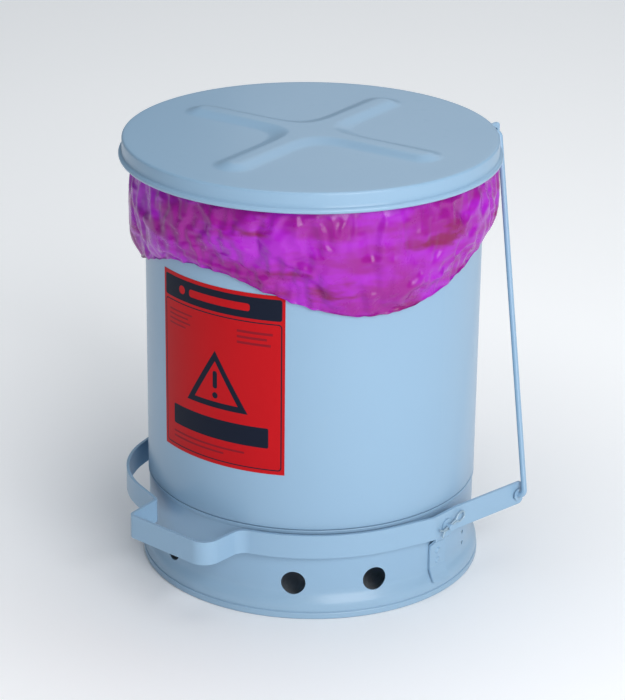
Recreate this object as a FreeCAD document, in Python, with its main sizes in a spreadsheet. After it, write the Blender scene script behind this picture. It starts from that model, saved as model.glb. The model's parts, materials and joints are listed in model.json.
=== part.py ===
import FreeCAD, Part
import math
import os
from FreeCAD import Placement, Rotation, Vector

# Foot-operated round steel waste can with a hinged lid and a bag liner.
# Millimetres. Z is up, the origin is the centre of the base rim's underside,
# -Y is the front with the pedal, +Y is the back with the lid hinge, and
# +X is the side that carries the lift rod.

doc = FreeCAD.newDocument("step_can")
sheet = doc.addObject("Spreadsheet::Sheet", "Sizes")

driving = [
    ("bodyRadius", 175.5, "outside of the body wall"),
    ("sheetGauge", 1.0, "steel sheet of body, skirt and lid"),
    ("rimTop", 457.5, "top of the body's curled rim"),
    ("rimCurl", 2.65, "radius of the curled rim"),
    ("neckRadius", 173.4, "body neck inside the base skirt"),
    ("neckFoot", 60.0, "lower end of the neck"),
    ("jointHeight", 98.4, "top edge of the base skirt"),
    ("floorHeight", 64.0, "upper face of the raised bottom"),
    ("skirtRadius", 174.6, "outside of the base skirt"),
    ("flareTop", 31.0, "where the skirt starts to flare"),
    ("flareRadius", 177.7, "middle of the flare"),
    ("flareMid", 21.3, "height of the middle of the flare"),
    ("footRadius", 181.2, "skirt above its rolled foot"),
    ("footTop", 10.3, "height where the flare ends"),
    ("ventHeight", 38.0, "centre line of the vent holes"),
    ("ventRadius", 12.7, "vent hole radius"),
    ("ventPitch", 28.0, "angle between vent holes"),
    ("lidTop", 466.0, "upper face of the lid plate"),
    ("lidRadius", 194.4, "outside of the lid skirt"),
    ("lidFoot", 445.0, "lower edge of the lid"),
    ("beadRadius", 197.9, "outside of the lid bead"),
    ("lidShiftX", -3.2, "lid centre from the body axis"),
    ("lidShiftY", -2.6, "lid centre from the body axis"),
    ("ribTurn", 7.2, "turn of the stamped cross"),
    ("ribReach", 148.0, "half length of the stamped cross"),
    ("ribHalf", 13.0, "half width of a stamped rib"),
    ("ribHeight", 2.8, "height of a stamped rib"),
    ("ribCorner", 26.0, "round in the corners of the cross"),
    ("strapHeight", 25.4, "height of the pedal's flat bar"),
    ("strapGauge", 3.2, "thickness of the pedal's flat bar"),
    ("strapFoot", 71.0, "lower edge of the flat bar"),
    ("pivotX", 184.3, "inner face of the bar at its pivots"),
    ("pivotHeight", 80.5, "pedal pivot axis"),
    ("pinRadius", 3.15, "pivot pin shank"),
    ("rodRadius", 3.0, "lift rod"),
    ("rodFootX", 208.5, "lift rod above its lower bend"),
    ("rodFootY", 107.0, "lower rod pivot"),
    ("rodFootZ", 83.0, "lower rod pivot"),
    ("rodHeadX", 103.5, "lift rod below its upper bend"),
    ("rodHeadY", 178.0, "upper rod pivot"),
    ("rodHeadZ", 448.5, "upper rod pivot"),
    ("hingeY", 200.0, "lid hinge axis"),
    ("hingeZ", 452.5, "lid hinge axis"),
    ("knuckle", 4.0, "outside radius of the hinge knuckles"),
    ("hingePin", 2.0, "radius of the hinge pin"),
    ("labelFoot", 159.0, "lower edge of the label"),
    ("labelHeight", 193.0, "height of the label"),
    ("labelSpan", 50.0, "angle that the label covers"),
    ("hemMiddle", 352.0, "mean height of the liner's hem"),
    ("hemSwing", 20.0, "rise and fall of the liner's hem"),
    ("earX", 94.4, "near face of the lid's ear"),
    ("earGauge", 2.2, "thickness of the lid's ear"),
    ("slotHalfWidth", 5.5, "half the length of the ear's slot"),
    ("slotHalfHeight", 4.4, "half the height of the ear's slot"),
    ("bracketGauge", 2.2, "thickness of the pivot brackets"),
    ("bracketWidth", 25.4, "width of the pivot brackets"),
    ("leafGauge", 2.0, "thickness of the hinge leaves"),
    ("leafWidth", 56.0, "width of the hinge"),
    ("middleKnuckle", 19.6, "length of the lid's knuckle"),
    ("cotterTurn", 16.0, "turn of the cotter pins about the pivot"),
]


class Size:
    """A number and the sheet expression that it comes from."""

    def __init__(self, value, text):
        self.value = value
        self.text = text

    def __add__(self, other):
        other = size(other)
        return Size(self.value + other.value, f"({self.text} + {other.text})")

    def __sub__(self, other):
        other = size(other)
        return Size(self.value - other.value, f"({self.text} - {other.text})")

    def __mul__(self, other):
        other = size(other)
        return Size(self.value * other.value, f"({self.text} * {other.text})")

    def __rsub__(self, other):
        return size(other) - self

    def __neg__(self):
        return Size(-self.value, f"(0 - {self.text})")


def size(number):
    return number if isinstance(number, Size) else Size(float(number), f"({float(number)!r})")


class Sizes:
    pass


s = Sizes()
for row, (alias, value, note) in enumerate(driving, start=1):
    sheet.set(f"A{row}", alias)
    sheet.set(f"B{row}", repr(value))
    sheet.set(f"C{row}", note)
    sheet.setAlias(f"B{row}", alias)
    setattr(s, alias, Size(value, f"Sizes.{alias}"))
doc.recompute()

nodes = []


def bind(item, field, amount):
    amount = size(amount)
    setattr(item, field, amount.value)
    item.setExpression(field, amount.text)


def newBody(label, shiftX=None, shiftY=None):
    body = doc.addObject("PartDesign::Body", label)
    body.Label = label
    if shiftX is not None:
        body.Placement = Placement(Vector(shiftX.value, shiftY.value, 0), Rotation())
        body.setExpression("Placement.Base.x", shiftX.text)
        body.setExpression("Placement.Base.y", shiftY.text)
    nodes.append(body)
    return body


def newSketch(body, role, turn=0.0, lift=None):
    """A sketch on one of the body's origin planes, turned about the plane's own up axis."""
    sketch = body.newObject("Sketcher::SketchObject", "Outline")
    plane = next(f for f in body.Origin.OriginFeatures if f.Role == role)
    sketch.AttachmentSupport = [(plane, "")]
    sketch.MapMode = "FlatFace"
    about = Vector(0, 0, 1) if role == "XY_Plane" else Vector(0, 1, 0)
    sketch.AttachmentOffset = Placement(Vector(0, 0, 0), Rotation(about, turn))
    if lift is not None:
        sketch.AttachmentOffset = Placement(Vector(0, 0, lift.value), Rotation(about, turn))
        sketch.setExpression("AttachmentOffset.Base.z", lift.text)
    return sketch


def arcBetween(start, end, radius):
    """The smaller arc from start to end; a positive radius turns left, a negative one right."""
    chord = end - start
    left = Vector(-chord.y, chord.x, 0).normalize()
    rise = math.sqrt(max(radius * radius - chord.Length ** 2 / 4, 0.0))
    centre = (start + end) * 0.5 + left * (rise if radius > 0 else -rise)
    first, last = (start, end) if radius > 0 else (end, start)
    begin = math.atan2(first.y - centre.y, first.x - centre.x)
    finish = math.atan2(last.y - centre.y, last.x - centre.x)
    return Part.ArcOfCircle(Part.Circle(centre, Vector(0, 0, 1), abs(radius)), begin, finish)


def outline(body, role, corners, turn=0.0, lift=None):
    """A closed outline, each corner bound to the sheet; a third number is the radius of the edge that ends there."""
    sketch = newSketch(body, role, turn, lift)
    corners = [(size(c[0]), size(c[1]), c[2] if len(c) > 2 else None) for c in corners]
    spots = [Vector(x.value, y.value, 0) for x, y, bend in corners]
    edges, ends = [], []
    for i, start in enumerate(spots):
        j = (i + 1) % len(spots)
        bend = corners[j][2]
        if bend is None:
            edges.append(Part.LineSegment(start, spots[j]))
            ends.append((1, 2))
        else:
            edges.append(arcBetween(start, spots[j], size(bend).value))
            ends.append((1, 2) if size(bend).value > 0 else (2, 1))
    sketch.addGeometry(edges, False)
    import Sketcher
    rules, bound = [], []
    for i, (x, y, bend) in enumerate(corners):
        before = (i - 1) % len(corners)
        rules.append(Sketcher.Constraint("Coincident", before, ends[before][1], i, ends[i][0]))
        for kind, axis, amount in (("DistanceX", -2, x), ("DistanceY", -1, y)):
            if abs(amount.value) < 1e-9:
                rules.append(Sketcher.Constraint("PointOnObject", i, ends[i][0], axis))
            else:
                rules.append(Sketcher.Constraint(kind, -1, 1, i, ends[i][0], amount.value))
                bound.append((len(rules) - 1, amount))
        if bend is not None:
            amount = size(bend) if size(bend).value > 0 else -size(bend)
            rules.append(Sketcher.Constraint("Radius", before, amount.value))
            bound.append((len(rules) - 1, amount))
    sketch.addConstraint(rules)
    for index, amount in bound:
        sketch.setExpression(f"Constraints[{index}]", amount.text)
    return sketch


def circles(body, role, spots, radius, turn=0.0):
    """A sketch of equal circles, their centres and radius bound to the sheet."""
    import Sketcher
    sketch = newSketch(body, role, turn)
    for i, (x, y) in enumerate(spots):
        x, y = size(x), size(y)
        sketch.addGeometry(Part.Circle(Vector(x.value, y.value, 0), Vector(0, 0, 1), radius.value), False)
        for kind, axis, amount in (("DistanceX", -2, x), ("DistanceY", -1, y)):
            if abs(amount.value) < 1e-9:
                sketch.addConstraint(Sketcher.Constraint("PointOnObject", i, 3, axis))
            else:
                rule = sketch.addConstraint(Sketcher.Constraint(kind, -1, 1, i, 3, amount.value))
                sketch.setExpression(f"Constraints[{rule}]", amount.text)
        rule = sketch.addConstraint(Sketcher.Constraint("Radius", i, radius.value))
        sketch.setExpression(f"Constraints[{rule}]", radius.text)
    return sketch


def revolve(body, sketch, angle=360.0):
    feature = body.newObject("PartDesign::Revolution", "Turned")
    feature.Profile = sketch
    feature.ReferenceAxis = (sketch, ["V_Axis"])
    bind(feature, "Angle", angle)
    return feature


def pad(body, sketch, length, both=False, back=False):
    feature = body.newObject("PartDesign::Pad", "Pad")
    feature.Profile = sketch
    bind(feature, "Length", length)
    if both:
        feature.Midplane = True
    feature.Reversed = back
    return feature


def pocket(body, sketch, length, back=False, both=False):
    """Cuts, and stops if nothing was cut away."""
    doc.recompute()
    before = body.Tip.Shape.Volume
    feature = body.newObject("PartDesign::Pocket", "Pocket")
    feature.Profile = sketch
    bind(feature, "Length", length)
    feature.Reversed = back
    if both:
        feature.Midplane = True
    doc.recompute()
    assert feature.Shape.Volume < before - 1e-3, f"{body.Label}: the pocket cuts nothing"
    return feature


def around(body, feature, count, turn, pitch):
    """Repeats a feature around the Z axis."""
    pattern = body.newObject("PartDesign::PolarPattern", "Around")
    pattern.Originals = [feature]
    axis = next(f for f in body.Origin.OriginFeatures if f.Role == "Z_Axis")
    pattern.Axis = (axis, [""])
    pattern.Reversed = turn < 0
    pattern.Occurrences = count
    bind(pattern, "Angle", pitch * (count - 1))
    body.Tip = pattern
    return pattern


def roundEdges(body, radius, wanted):
    """Rounds the edges of the body's tip whose middle passes the test."""
    doc.recompute()
    base = body.Tip
    names = []
    for number, edge in enumerate(base.Shape.Edges, start=1):
        middle = edge.valueAt((edge.FirstParameter + edge.LastParameter) / 2)
        if wanted(middle):
            names.append(f"Edge{number}")
    assert names, f"{body.Label}: no edge to round"
    feature = body.newObject("PartDesign::Fillet", "Round")
    feature.Base = (base, names)
    bind(feature, "Radius", radius)
    return feature


def shaped(label, shape, place=None):
    """A sub-part whose shape is built with Part's own functions."""
    item = doc.addObject("Part::Feature", label)
    item.Label = label
    item.Shape = shape
    item.Placement = place or Placement()
    nodes.append(item)
    return item


def roundedWire(points, radii):
    """Straight runs through the points, joined by tangent arcs of the given radii."""
    edges = []
    here = points[0]
    for i, radius in enumerate(radii, start=1):
        inward = (points[i - 1] - points[i]).normalize()
        onward = (points[i + 1] - points[i]).normalize()
        half = inward.getAngle(onward) / 2
        reach = radius / math.tan(half)
        first = points[i] + inward * reach
        last = points[i] + onward * reach
        middle = (inward + onward).normalize()
        centre = points[i] + middle * (radius / math.sin(half))
        edges.append(Part.LineSegment(here, first).toShape())
        edges.append(Part.Arc(first, centre - middle * radius, last).toShape())
        here = last
    edges.append(Part.LineSegment(here, points[-1]).toShape())
    return Part.Wire(edges)


def wireRod(path, radius):
    """A round bar swept along a path."""
    first = path.Edges[0]
    start = first.valueAt(first.FirstParameter)
    along = first.tangentAt(first.FirstParameter)
    ring = Part.Wire(Part.makeCircle(radius, start, along))
    return path.makePipeShell([ring], True, False)


# ---- body of the can ----

def makeBodyShell():
    body = newBody("body_shell")
    inner = s.bodyRadius - s.sheetGauge
    neckInner = s.neckRadius - s.sheetGauge
    step = s.jointHeight + 1.0
    curlFoot = s.rimTop - s.rimCurl * 2
    curlOut = s.bodyRadius + 1.6
    profile = outline(body, "XZ_Plane", [
        (neckInner, s.neckFoot),
        (s.neckRadius, s.neckFoot),
        (s.neckRadius, step),
        (s.bodyRadius - 0.6, step),
        (s.bodyRadius, step + 0.6, 0.6),
        (s.bodyRadius, curlFoot),
        (curlOut, curlFoot),
        (curlOut + s.rimCurl, curlFoot + s.rimCurl, s.rimCurl),
        (curlOut, s.rimTop, s.rimCurl),
        (inner + 1.2, s.rimTop),
        (inner, s.rimTop - 1.2, 1.2),
        (inner, step + 2.2),
        (neckInner, step),
    ])
    revolve(body, profile)


def makeBodyBottom():
    body = newBody("body_bottom")
    edge = s.neckRadius - s.sheetGauge - 0.2
    profile = outline(body, "XZ_Plane", [
        (0, s.floorHeight - s.sheetGauge),
        (edge - 4.0, s.floorHeight - s.sheetGauge),
        (edge - 1.0, s.floorHeight - s.sheetGauge - 3.0, -3.0),
        (edge - 1.0, s.neckFoot - 2.0),
        (edge, s.neckFoot - 2.0),
        (edge, s.floorHeight - 4.0),
        (edge - 4.0, s.floorHeight, 4.0),
        (0, s.floorHeight),
    ])
    revolve(body, profile)


def makeBaseSkirt():
    """The ring that the can stands on: vented, flared at the foot and rolled under."""
    body = newBody("base_skirt")
    inner = s.skirtRadius - s.sheetGauge
    foot = s.footRadius - s.sheetGauge
    rim = s.footRadius + 0.7
    profile = outline(body, "XZ_Plane", [
        (inner, s.flareTop, -17.73),
        (inner, s.jointHeight),
        (s.skirtRadius + 0.2, s.jointHeight),
        (s.skirtRadius + 1.1, s.jointHeight - 0.9, -0.9),
        (s.skirtRadius + 1.1, s.jointHeight - 3.2),
        (s.skirtRadius, s.jointHeight - 4.8),
        (s.skirtRadius, s.flareTop),
        (s.flareRadius, s.flareMid, 16.73),
        (s.footRadius, s.footTop, -19.03),
        (s.footRadius, 8.6),
        (s.footRadius - 0.7, 8.0),
        (s.footRadius - 0.7, 7.2),
        (rim, 5.8, -1.4),
        (rim, 2.0),
        (rim - 2.0, 0, -2.0),
        (rim - 4.0, 0),
        (rim - 6.0, 2.0, -2.0),
        (rim - 6.0, 5.2),
        (rim - 4.5, 6.7, -1.5),
        (foot - 0.7, 6.7),
        (foot, 7.4, 0.7),
        (foot, s.footTop),
        (s.flareRadius - s.sheetGauge * 0.815, s.flareMid - s.sheetGauge * 0.579, 18.03),
    ])
    revolve(body, profile)
    for first, count in ((-15.0, -3), (35.4, 2), (147.4, 4)):
        hole = circles(body, "XZ_Plane", [(0, s.ventHeight)], s.ventRadius, turn=first)
        cut = pocket(body, hole, s.bodyRadius + 10, back=True)
        around(body, cut, abs(count), count, s.ventPitch)
    small = circles(body, "XZ_Plane", [(0, 45.6), (0, 33.0)], size(2.3), turn=109.0)
    pocket(body, small, s.bodyRadius + 10, back=True)


def makeLabel():
    """A thin curved sheet stuck on the front, centred 7.2 degrees towards +X."""
    body = newBody("front_label")
    profile = outline(body, "XZ_Plane", [
        (s.bodyRadius + 0.03, s.labelFoot),
        (s.bodyRadius + 0.3, s.labelFoot),
        (s.bodyRadius + 0.3, s.labelFoot + s.labelHeight),
        (s.bodyRadius + 0.03, s.labelFoot + s.labelHeight),
    ], turn=7.2 - 90.0)
    feature = revolve(body, profile)
    bind(feature, "Angle", s.labelSpan)
    feature.Midplane = True


def makeLiner():
    """The bag: a film down the inside, folded over the rim into a loose cuff with a wavy hem."""
    skin = 1.2
    wall = s.bodyRadius.value - s.sheetGauge.value
    hang = s.neckRadius.value - s.sheetGauge.value - 0.4
    outside = s.bodyRadius.value + 0.8
    top = s.rimTop.value
    curl = s.bodyRadius.value + 1.6 + s.rimCurl.value
    floor = s.floorHeight.value + 0.4
    lowest = 328.0
    section = [
        (0, floor), (hang - 8, floor), (hang, floor + 8), (hang, top - 1.0), (hang + 2.6, top + 0.5),
        (curl + 0.4, top + 0.5), (curl + 0.6, top - 5.6), (outside, top - 6.6), (outside, lowest),
        (179.5, lowest), (181.0, 350.0), (185.5, 375.0), (190.0, 402.0), (191.6, 428.0),
        (188.4, 442.0), (187.8, 451.0), (184.0, top + 1.6), (hang + 2.2, top + 1.6),
        (hang - skin, top - 1.4), (hang - skin, floor + 8.4), (hang - 8.4, floor + skin), (0, floor + skin),
    ]
    points = [Vector(r, 0, z) for r, z in section]
    face = Part.Face(Part.makePolygon(points + [points[0]]))
    bag = face.revolve(Vector(0, 0, 0), Vector(0, 0, 1), 360)

    def hem(radius):
        """Three swags round the can: lowest 62 degrees from the front, towards +X."""
        ring = []
        for step in range(24):
            turn = math.radians(step * 15)
            height = s.hemMiddle.value - s.hemSwing.value * math.cos(3 * (turn - math.radians(62)))
            ring.append(Vector(radius * math.sin(turn), -radius * math.cos(turn), height))
        curve = Part.BSplineCurve()
        curve.interpolate(ring, PeriodicFlag=True)
        return curve.toShape()

    below = Part.makeRuledSurface(hem(outside - 0.4), hem(210.0)).extrude(Vector(0, 0, -80))
    bag = bag.cut(below)
    leaf = Part.makeBox(70, 40, 80, Vector(-35, 170, 361))
    step = Part.makeBox(150, 14, 140, Vector(-75, 185.5, 320))
    bag = bag.cut(leaf).cut(step)
    shaped("liner_bag", bag)


# ---- lid ----

def makeLid():
    body = newBody("lid_shell", s.lidShiftX, s.lidShiftY)
    inner = s.lidRadius - s.sheetGauge
    curl = (s.beadRadius - inner) * 0.59
    beadTop = s.lidFoot + curl * 2
    profile = outline(body, "XZ_Plane", [
        (0, s.lidTop - s.sheetGauge),
        (inner - 2.0, s.lidTop - s.sheetGauge),
        (inner, s.lidTop - s.sheetGauge - 2.0, -2.0),
        (inner, s.lidFoot + 1.0),
        (inner + 1.0, s.lidFoot, 1.0),
        (s.beadRadius - curl, s.lidFoot),
        (s.beadRadius, s.lidFoot + curl, curl),
        (s.beadRadius - curl, beadTop, curl),
        (s.lidRadius + 0.4, beadTop),
        (s.lidRadius, beadTop + 0.4, -0.4),
        (s.lidRadius, s.lidTop - 3.0),
        (s.lidRadius - 3.0, s.lidTop, 3.0),
        (0, s.lidTop),
    ])
    revolve(body, profile)

    def cross(half, lift):
        """A cross with round tips and rounded inner corners, drawn one quarter at a time."""
        tip = s.ribReach - s.ribHalf
        corner = half + s.ribCorner
        quarter = [(tip, -half), (tip + half, 0, half), (tip, half, half),
                   (corner, half), (half, corner, -s.ribCorner)]
        points = []
        for turn in range(4):
            for x, y, *bend in quarter:
                for step in range(turn):
                    x, y = -size(y), x
                points.append((x, y, *bend))
        return outline(body, "XY_Plane", points, turn=s.ribTurn.value, lift=lift)

    pad(body, cross(s.ribHalf, s.lidTop - 0.4), s.ribHeight + 0.4)
    top = s.lidTop.value + s.ribHeight.value
    roundEdges(body, 1.3, lambda at: abs(at.z - top) < 0.01)
    rib = s.ribReach.value + 5
    roundEdges(body, 1.3, lambda at: abs(at.z - s.lidTop.value) < 0.01 and math.hypot(at.x, at.y) < rib)
    pocket(body, cross(s.ribHalf - 1.6, s.lidTop - s.sheetGauge), s.ribHeight - 0.2, back=True)


def makeLinkEar():
    """A plate that stands out from the lid's skirt; its slotted hole takes the top of the lift rod."""
    body = newBody("lid_link_ear", s.lidShiftX, s.lidShiftY)
    near = s.earX - s.lidShiftX
    holeY = s.rodHeadY - s.lidShiftY
    shelf = s.lidFoot + 6.4
    plate = outline(body, "YZ_Plane", [
        (holeY - 12.1, shelf),
        (holeY - 7.6, shelf),
        (holeY - 7.6, s.rodHeadZ - 7.5),
        (holeY + 5.0, s.rodHeadZ - 7.5),
        (holeY + 9.0, s.rodHeadZ - 3.5, 4.0),
        (holeY + 9.0, s.rodHeadZ + 4.5),
        (holeY + 4.0, s.rodHeadZ + 9.5, 5.0),
        (holeY - 12.1, s.rodHeadZ + 9.5),
    ], lift=near)
    pad(body, plate, s.earGauge)
    flange = outline(body, "XZ_Plane", [
        (s.lidRadius + 0.15, shelf),
        (s.lidRadius + 2.15, shelf),
        (s.lidRadius + 2.15, s.lidTop - 4.5),
        (s.lidRadius + 0.15, s.lidTop - 4.5),
    ], turn=59.6)
    doc.recompute()
    revolve(body, flange, 9.0)
    wide, tall = s.slotHalfWidth, s.slotHalfHeight
    slot = outline(body, "YZ_Plane", [
        (holeY - wide + tall, s.rodHeadZ - tall, tall),
        (holeY + wide - tall, s.rodHeadZ - tall),
        (holeY + wide, s.rodHeadZ, tall),
        (holeY + wide - tall, s.rodHeadZ + tall, tall),
        (holeY - wide + tall, s.rodHeadZ + tall),
        (holeY - wide, s.rodHeadZ, tall),
    ], lift=near - 1.0)
    pocket(body, slot, s.earGauge + 2.0, back=True)


# ---- hinge ----

def knuckles(body, width):
    return pad(body, circles(body, "YZ_Plane", [(s.hingeY, s.hingeZ)], s.knuckle), width, both=True)


def makeHingeBodyLeaf():
    body = newBody("hinge_body_leaf")
    inner = s.bodyRadius + 0.15
    outer = inner + s.leafGauge
    rise = s.hingeY - 0.2
    leaf = outline(body, "YZ_Plane", [
        (inner, s.hingeZ - 68.0),
        (outer, s.hingeZ - 68.0),
        (outer, s.hingeZ - 30.0),
        (rise, s.hingeZ - 12.0),
        (rise, s.hingeZ - 2.5),
        (rise - s.leafGauge, s.hingeZ - 2.5),
        (rise - s.leafGauge, s.hingeZ - 11.0),
        (inner, s.hingeZ - 29.0),
    ])
    pad(body, leaf, s.leafWidth, both=True)
    knuckles(body, s.leafWidth)
    gap = s.middleKnuckle * 0.5 + 0.6
    window = outline(body, "XZ_Plane", [
        (-gap, s.hingeZ - 11.5), (gap, s.hingeZ - 11.5), (gap, s.hingeZ + 6.0), (-gap, s.hingeZ + 6.0),
    ])
    pocket(body, window, s.hingeY + 20.0)
    bore = circles(body, "YZ_Plane", [(s.hingeY, s.hingeZ)], s.hingePin + 0.03)
    pocket(body, bore, s.leafWidth + 4.0, both=True)


def makeHingeLidLeaf():
    body = newBody("hinge_lid_leaf")
    inner = s.lidRadius + s.lidShiftY + 0.12
    outer = inner + s.leafGauge
    shelf = s.lidFoot + 6.4
    plate = outline(body, "YZ_Plane", [
        (inner, shelf), (outer, shelf), (outer, s.lidTop - 3.5), (inner, s.lidTop - 3.5),
    ])
    pad(body, plate, s.leafWidth, both=True)
    web = outline(body, "YZ_Plane", [
        (inner, s.hingeZ + s.knuckle - s.leafGauge),
        (s.hingeY, s.hingeZ + s.knuckle - s.leafGauge),
        (s.hingeY, s.hingeZ + s.knuckle),
        (inner, s.hingeZ + s.knuckle),
    ])
    pad(body, web, s.middleKnuckle, both=True)
    knuckles(body, s.middleKnuckle)
    bore = circles(body, "YZ_Plane", [(s.hingeY, s.hingeZ)], s.hingePin + 0.1)
    pocket(body, bore, s.leafWidth, both=True)


def makeHingePin():
    body = newBody("hinge_pin")
    pad(body, circles(body, "YZ_Plane", [(s.hingeY, s.hingeZ)], s.hingePin), s.leafWidth + 4.0, both=True)
    head = newSketchOfHead(body)
    pad(body, head, 1.8)
    roundEdges(body, 0.9, lambda at: at.x > s.leafWidth.value / 2 + 1.9)


def newSketchOfHead(body):
    sketch = circles(body, "YZ_Plane", [(s.hingeY, s.hingeZ)], s.hingePin + 1.6)
    sketch.setExpression("AttachmentOffset.Base.z", (s.leafWidth * 0.5 + 0.4).text)
    return sketch


# ---- rivets ----

def rivet(at, towards, headRadius, shank):
    """A domed head on its shank, pointing the given way."""
    rise = headRadius * 0.45
    ball = (headRadius ** 2 + rise ** 2) / (2 * rise)
    dome = doc.addObject("Part::Sphere", "Dome")
    dome.Radius = ball
    dome.Angle1 = math.degrees(math.asin((ball - rise) / ball))
    dome.Placement = Placement(Vector(0, 0, rise - ball), Rotation())
    stem = doc.addObject("Part::Cylinder", "Stem")
    stem.Radius = headRadius * 0.5
    stem.Height = shank
    stem.Placement = Placement(Vector(0, 0, -shank), Rotation())
    whole = doc.addObject("Part::MultiFuse", "Rivet")
    whole.Shapes = [dome, stem]
    whole.Placement = Placement(at, Rotation(Vector(0, 0, 1), towards))
    return whole


def rivetGroup(label, places, headRadius, shank):
    group = doc.addObject("Part::Compound", label)
    group.Label = label
    group.Links = [rivet(at, towards, headRadius, shank) for at, towards in places]
    nodes.append(group)


def makeRivets():
    back = Vector(0, 1, 0)
    face = s.bodyRadius.value + 0.15 + s.leafGauge.value
    foot = s.hingeZ.value - 68
    rivetGroup("hinge_body_rivets",
               [(Vector(x, face, foot + z), back) for x in (-18, 18) for z in (9, 29)], 4.0, 4.8)
    face = s.lidRadius.value + s.lidShiftY.value + 0.12 + s.leafGauge.value
    middle = (s.lidFoot.value + s.lidTop.value + 2.9) / 2
    rivetGroup("hinge_lid_rivets", [(Vector(x, face, middle), back) for x in (-20, 20)], 3.4, 4.6)
    places = []
    for angle in (62.6, 66.2):
        out = Vector(math.cos(math.radians(angle)), math.sin(math.radians(angle)), 0)
        centre = Vector(s.lidShiftX.value, s.lidShiftY.value, middle)
        places.append((centre + out * (s.lidRadius.value + 2.1), out))
    rivetGroup("link_ear_rivets", places, 3.0, 3.4)
    places = []
    for side in (1, -1):
        face = side * (s.skirtRadius.value + 0.15 + s.bracketGauge.value)
        places += [(Vector(face, 0, z), Vector(side, 0, 0)) for z in (37.5, 48.5)]
    rivetGroup("pivot_bracket_rivets", places, 3.8, 3.6)


# ---- pedal pivots: made on the +X side, and turned half round for the other ----

def place(item, side, turn=0.0, height=0.0):
    half = Rotation(Vector(0, 0, 1), 0 if side > 0 else 180)
    item.Placement = Placement(Vector(0, 0, height), half * Rotation(Vector(1, 0, 0), turn))


def makeBracket(label, side):
    """A strip riveted to the skirt; its upper half stands out and holds the pivot pin."""
    body = newBody(label)
    low = s.skirtRadius + 0.15
    tab = s.pivotX - 0.3 - s.bracketGauge
    gauge = s.bracketGauge
    strip = outline(body, "XZ_Plane", [
        (low + 5.9, 16.5),
        (low + 5.9 + gauge, 17.0),
        (low + 3.4 + gauge, 22.8),
        (low + gauge, 32.2),
        (low + gauge, 57.2),
        (tab + gauge, 65.2),
        (tab + gauge, s.strapFoot + 21.0),
        (tab, s.strapFoot + 21.0),
        (tab, 66.0),
        (low, 58.0),
        (low, 31.6),
        (low + 3.6, 21.8),
    ])
    pad(body, strip, s.bracketWidth, both=True)
    top = s.strapFoot.value + 21.0
    wide = s.bracketWidth.value / 2
    roundEdges(body, 9.0, lambda at: abs(at.z - top) < 0.01 and abs(abs(at.y) - wide) < 0.01)
    hole = circles(body, "YZ_Plane", [(0, s.pivotHeight)], s.pinRadius + 0.03)
    pocket(body, hole, s.pivotX + 10.0, back=True)
    place(body, side)


def makePin(label, side):
    """A headed pin whose far end is cross-drilled for the cotter."""
    body = newBody(label)
    headFace = s.pivotX - 0.5 - s.bracketGauge
    sketch = circles(body, "YZ_Plane", [(0, 0)], s.pinRadius)
    sketch.setExpression("AttachmentOffset.Base.z", headFace.text)
    pad(body, sketch, s.strapGauge + s.bracketGauge + 7.8)
    sketch = circles(body, "YZ_Plane", [(0, 0)], s.pinRadius + 2.2)
    sketch.setExpression("AttachmentOffset.Base.z", (headFace - 1.8).text)
    pad(body, sketch, 1.8)
    roundEdges(body, 0.8, lambda at: at.x > s.pivotX.value + 8 or at.x < s.pivotX.value - 4)
    cross = circles(body, "XZ_Plane", [(s.pivotX + s.strapGauge + 3.7, 0)], size(2.15))
    pocket(body, cross, 20.0, both=True)
    place(body, side, s.cotterTurn.value, s.pivotHeight.value)


def cotterShape():
    """One wire bent double: an eye at the back, two legs through the pin, and their splayed ends."""
    x = s.pivotX.value + s.strapGauge.value + 3.7
    wire = 1.0
    leg = wire + 0.04
    eye = 4.6
    side = [(-14.5, 5.2), (-9.5, leg), (12.0, leg), (16.5, eye), (25.5, eye)]
    points = side + [(y, -z) for y, z in reversed(side)]
    points = [Vector(x, y, z) for y, z in points]
    points[-1] = Vector(x, -13.0, -6.0)
    return wireRod(roundedWire(points, [3.0, 5.0, 4.0, 4.2, 4.2, 4.0, 5.0, 3.0]), wire)


def makePivots():
    for word, side in (("right", 1), ("left", -1)):
        makeBracket(f"{word}_pivot_bracket", side)
        makePin(f"{word}_pivot_pin", side)
        ring = doc.addObject("Part::Cylinder", "Ring")
        ring.Radius, ring.Height = 7.8, 1.2
        bore = doc.addObject("Part::Cylinder", "RingBore")
        bind(bore, "Radius", s.pinRadius + 0.05)
        bore.Height = 1.2
        washer = doc.addObject("Part::Cut", f"{word}_pivot_washer")
        washer.Base, washer.Tool = ring, bore
        washer.Label = f"{word}_pivot_washer"
        out = side * (s.pivotX.value + s.strapGauge.value + 0.3)
        washer.Placement = Placement(Vector(out, 0, s.pivotHeight.value), Rotation(Vector(0, 0, 1), Vector(side, 0, 0)))
        nodes.append(washer)
        place(shaped(f"{word}_cotter_pin", cotterShape()), side, s.cotterTurn.value, s.pivotHeight.value)


# ---- pedal and lift rod ----

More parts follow.
